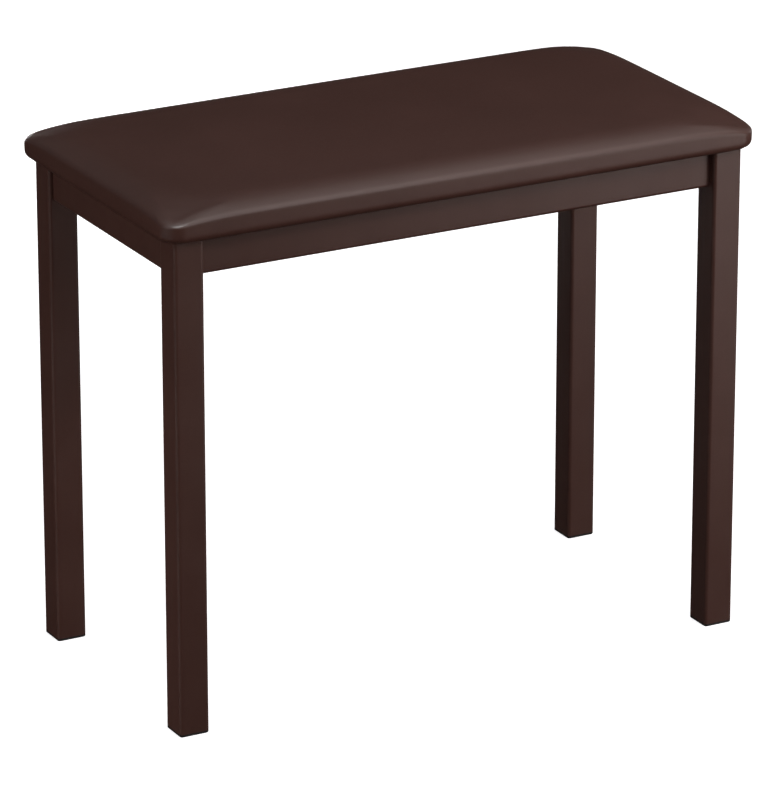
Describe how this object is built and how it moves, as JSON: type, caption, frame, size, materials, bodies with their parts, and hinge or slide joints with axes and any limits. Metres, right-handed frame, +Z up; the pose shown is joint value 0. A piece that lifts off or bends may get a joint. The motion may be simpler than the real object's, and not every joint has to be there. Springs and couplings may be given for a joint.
{
  "type": "piano bench",
  "caption": "Fixed-height bench: padded vinyl seat on a steel tube frame with square legs bolted at the corners of a rail frame.",
  "frame": {"origin": "on the floor, under the middle of the bench", "axes": "+X along the seat's length, +Y towards the back, +Z up"},
  "size_m": [0.579, 0.296, 0.4829],
  "materials": {
    "vinyl": "dark brown vinyl with a fine grain, satin",
    "foam": "open-cell upholstery foam",
    "plywood": "raw birch plywood",
    "frame_paint": "dark brown powder coat, satin",
    "zinc": "bright zinc plate",
    "foot_plastic": "moulded black polyethylene"
  },
  "bodies": {
    "root": {"seat_cover": "vinyl", "seat_foam": "foam", "seat_board": "plywood", "cover_staples": "zinc", "seat_screws": "zinc", "front_rail": "frame_paint", "back_rail": "frame_paint", "left_rail": "frame_paint", "right_rail": "frame_paint", "left_seat_tab": "frame_paint", "right_seat_tab": "frame_paint", "leg_bolts": "zinc", "leg_bolt_washers": "zinc", "leg_bolt_spring_washers": "zinc", "front_left_seat_tab": "frame_paint", "front_left_corner_bracket": "frame_paint", "front_left_leg": "frame_paint", "front_left_nut_plate": "zinc", "front_left_foot": "foot_plastic", "front_right_seat_tab": "frame_paint", "front_right_corner_bracket": "frame_paint", "front_right_leg": "frame_paint", "front_right_nut_plate": "zinc", "front_right_foot": "foot_plastic", "back_left_seat_tab": "frame_paint", "back_left_corner_bracket": "frame_paint", "back_left_leg": "frame_paint", "back_left_nut_plate": "zinc", "back_left_foot": "foot_plastic", "back_right_seat_tab": "frame_paint", "back_right_corner_bracket": "frame_paint", "back_right_leg": "frame_paint", "back_right_nut_plate": "zinc", "back_right_foot": "foot_plastic"}
  },
  "joints": []
}
